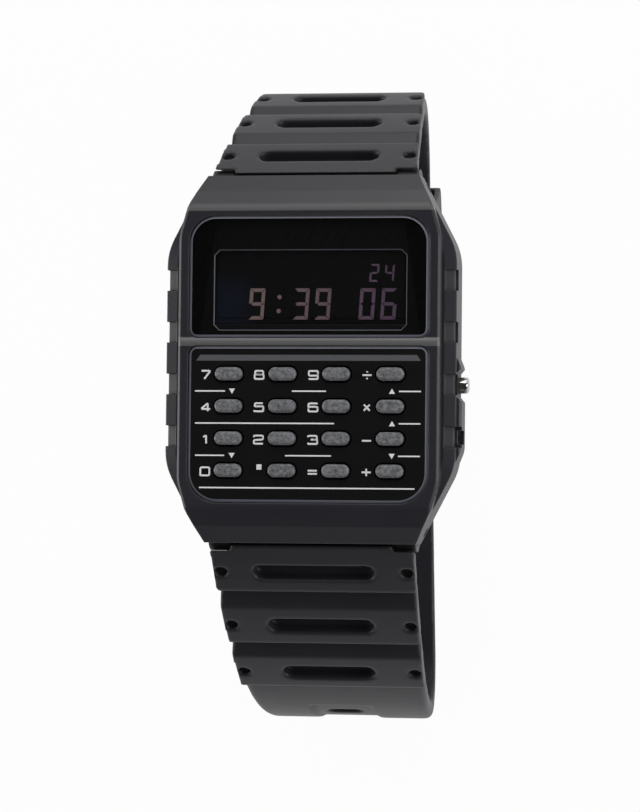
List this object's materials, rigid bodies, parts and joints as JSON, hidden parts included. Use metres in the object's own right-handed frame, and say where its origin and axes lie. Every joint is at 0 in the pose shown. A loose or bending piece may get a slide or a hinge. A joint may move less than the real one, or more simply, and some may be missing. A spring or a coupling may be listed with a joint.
{
  "type": "calculator watch",
  "caption": "Digital calculator watch: resin case with display window and keypad, side pushers, steel back, and a ribbed two-part strap closed to a loop with pin buckle and keeper.",
  "frame": {"origin": "centre of the case back's flat outer face", "axes": "+Z out of the dial, +Y to the twelve o'clock end, +X to the three o'clock side"},
  "size_m": [0.0355, 0.0771, 0.0482],
  "materials": {
    "case_resin": "fine satin, moulded resin",
    "strap_resin": "satin, flexible resin",
    "window_plastic": "polished clear acrylic",
    "mask_print": "smooth black",
    "panel_plastic": "semi-gloss black",
    "key_plastic": "satin dark grey",
    "lcd_glass": "satin grey-green",
    "lcd_film": "satin grey-green film",
    "holder_plastic": "moulded, white",
    "contact_rubber": "striped conductive rubber",
    "board": "green laminate",
    "chip_resin": "black potting resin",
    "frame_plastic": "moulded, black",
    "mat_rubber": "silicone rubber",
    "gasket_rubber": "nitrile rubber",
    "steel": "brushed stainless steel",
    "bright_steel": "polished stainless steel",
    "brass_disc": "plain brass"
  },
  "bodies": {
    "case": {"case_body": "case_resin", "window_crystal": "window_plastic", "window_mask": "mask_print", "lcd_cell": "lcd_glass", "lcd_polariser": "lcd_film", "lcd_holder": "holder_plastic", "zebra_strips": "contact_rubber", "circuit_board": "board", "chip_blob": "chip_resin", "quartz_can": "bright_steel", "battery": "bright_steel", "battery_clip": "steel", "module_frame": "frame_plastic", "key_mat": "mat_rubber", "keypad_panel": "panel_plastic", "back_gasket": "gasket_rubber", "case_back": "steel", "back_screws": "steel", "buzzer_disc": "brass_disc", "mode_spring": "steel", "adjust_spring": "steel", "spring_bar_12": "steel", "spring_bar_6": "steel"},
    "strap_upper": {"strap_12": "strap_resin", "buckle_pin": "steel"},
    "strap_lower": {"strap_6": "strap_resin"},
    "buckle": {"buckle_frame": "steel"},
    "tongue": {"buckle_tongue": "steel"},
    "keeper": {"strap_keeper": "strap_resin"},
    "mode_button": {"mode_pusher": "bright_steel", "mode_seal": "gasket_rubber", "mode_clip": "steel"},
    "adjust_button": {"adjust_pusher": "bright_steel", "adjust_seal": "gasket_rubber", "adjust_clip": "steel"},
    "button_7": {"key_7": "key_plastic"},
    "button_8": {"key_8": "key_plastic"},
    "button_9": {"key_9": "key_plastic"},
    "button_divide": {"key_divide": "key_plastic"},
    "button_4": {"key_4": "key_plastic"},
    "button_5": {"key_5": "key_plastic"},
    "button_6": {"key_6": "key_plastic"},
    "button_times": {"key_times": "key_plastic"},
    "button_1": {"key_1": "key_plastic"},
    "button_2": {"key_2": "key_plastic"},
    "button_3": {"key_3": "key_plastic"},
    "button_minus": {"key_minus": "key_plastic"},
    "button_0": {"key_0": "key_plastic"},
    "button_point": {"key_point": "key_plastic"},
    "button_equals": {"key_equals": "key_plastic"},
    "button_plus": {"key_plus": "key_plastic"}
  },
  "joints": [
    {"name": "press_7", "type": "slide", "parent": "case", "child": "button_7", "axis": [0, 0, -1], "range_m": [0, 0.00045], "stiffness_N_per_m": 900, "springref_m": -0.0002, "deforming": ["key_mat"]},
    {"name": "press_8", "type": "slide", "parent": "case", "child": "button_8", "axis": [0, 0, -1], "range_m": [0, 0.00045], "stiffness_N_per_m": 900, "springref_m": -0.0002, "deforming": ["key_mat"]},
    {"name": "press_9", "type": "slide", "parent": "case", "child": "button_9", "axis": [0, 0, -1], "range_m": [0, 0.00045], "stiffness_N_per_m": 900, "springref_m": -0.0002, "deforming": ["key_mat"]},
    {"name": "press_divide", "type": "slide", "parent": "case", "child": "button_divide", "axis": [0, 0, -1], "range_m": [0, 0.00045], "stiffness_N_per_m": 900, "springref_m": -0.0002, "deforming": ["key_mat"]},
    {"name": "press_4", "type": "slide", "parent": "case", "child": "button_4", "axis": [0, 0, -1], "range_m": [0, 0.00045], "stiffness_N_per_m": 900, "springref_m": -0.0002, "deforming": ["key_mat"]},
    {"name": "press_5", "type": "slide", "parent": "case", "child": "button_5", "axis": [0, 0, -1], "range_m": [0, 0.00045], "stiffness_N_per_m": 900, "springref_m": -0.0002, "deforming": ["key_mat"]},
    {"name": "press_6", "type": "slide", "parent": "case", "child": "button_6", "axis": [0, 0, -1], "range_m": [0, 0.00045], "stiffness_N_per_m": 900, "springref_m": -0.0002, "deforming": ["key_mat"]},
    {"name": "press_times", "type": "slide", "parent": "case", "child": "button_times", "axis": [0, 0, -1], "range_m": [0, 0.00045], "stiffness_N_per_m": 900, "springref_m": -0.0002, "deforming": ["key_mat"]},
    {"name": "press_1", "type": "slide", "parent": "case", "child": "button_1", "axis": [0, 0, -1], "range_m": [0, 0.00045], "stiffness_N_per_m": 900, "springref_m": -0.0002, "deforming": ["key_mat"]},
    {"name": "press_2", "type": "slide", "parent": "case", "child": "button_2", "axis": [0, 0, -1], "range_m": [0, 0.00045], "stiffness_N_per_m": 900, "springref_m": -0.0002, "deforming": ["key_mat"]},
    {"name": "press_3", "type": "slide", "parent": "case", "child": "button_3", "axis": [0, 0, -1], "range_m": [0, 0.00045], "stiffness_N_per_m": 900, "springref_m": -0.0002, "deforming": ["key_mat"]},
    {"name": "press_minus", "type": "slide", "parent": "case", "child": "button_minus", "axis": [0, 0, -1], "range_m": [0, 0.00045], "stiffness_N_per_m": 900, "springref_m": -0.0002, "deforming": ["key_mat"]},
    {"name": "press_0", "type": "slide", "parent": "case", "child": "button_0", "axis": [0, 0, -1], "range_m": [0, 0.00045], "stiffness_N_per_m": 900, "springref_m": -0.0002, "deforming": ["key_mat"]},
    {"name": "press_point", "type": "slide", "parent": "case", "child": "button_point", "axis": [0, 0, -1], "range_m": [0, 0.00045], "stiffness_N_per_m": 900, "springref_m": -0.0002, "deforming": ["key_mat"]},
    {"name": "press_equals", "type": "slide", "parent": "case", "child": "button_equals", "axis": [0, 0, -1], "range_m": [0, 0.00045], "stiffness_N_per_m": 900, "springref_m": -0.0002, "deforming": ["key_mat"]},
    {"name": "press_plus", "type": "slide", "parent": "case", "child": "button_plus", "axis": [0, 0, -1], "range_m": [0, 0.00045], "stiffness_N_per_m": 900, "springref_m": -0.0002, "deforming": ["key_mat"]},
    {"name": "press_mode", "type": "slide", "parent": "case", "child": "mode_button", "axis": [-1, 0, 0], "range_m": [0, 0.0004], "stiffness_N_per_m": 1500, "springref_m": -0.0003, "deforming": ["mode_spring"]},
    {"name": "press_adjust", "type": "slide", "parent": "case", "child": "adjust_button", "axis": [-1, 0, 0], "range_m": [0, 0.0004], "stiffness_N_per_m": 1500, "springref_m": -0.0003, "deforming": ["adjust_spring"]},
    {"name": "strap_upper_hinge", "type": "hinge", "parent": "case", "child": "strap_upper", "pos_m": [0, 0.0202, 0.0026], "axis": [1, 0, 0], "range_deg": [0, 5]},
    {"name": "strap_lower_hinge", "type": "hinge", "parent": "case", "child": "strap_lower", "pos_m": [0, -0.0202, 0.0026], "axis": [-1, 0, 0], "range_deg": [-12, 0]},
    {"name": "buckle_hinge", "type": "hinge", "parent": "strap_upper", "child": "buckle", "pos_m": [0, 0.0126, -0.03785], "axis": [1, 0, 0], "range_deg": [0, 40]},
    {"name": "tongue_hinge", "type": "hinge", "parent": "buckle", "child": "tongue", "pos_m": [0, 0.0126, -0.03785], "axis": [1, 0, 0], "range_deg": [0, 75]},
    {"name": "keeper_slide", "type": "hinge", "parent": "strap_upper", "child": "keeper", "pos_m": [0, 0.01582, -0.02078], "axis": [1, 0, 0], "range_deg": [0, 20]}
  ]
}
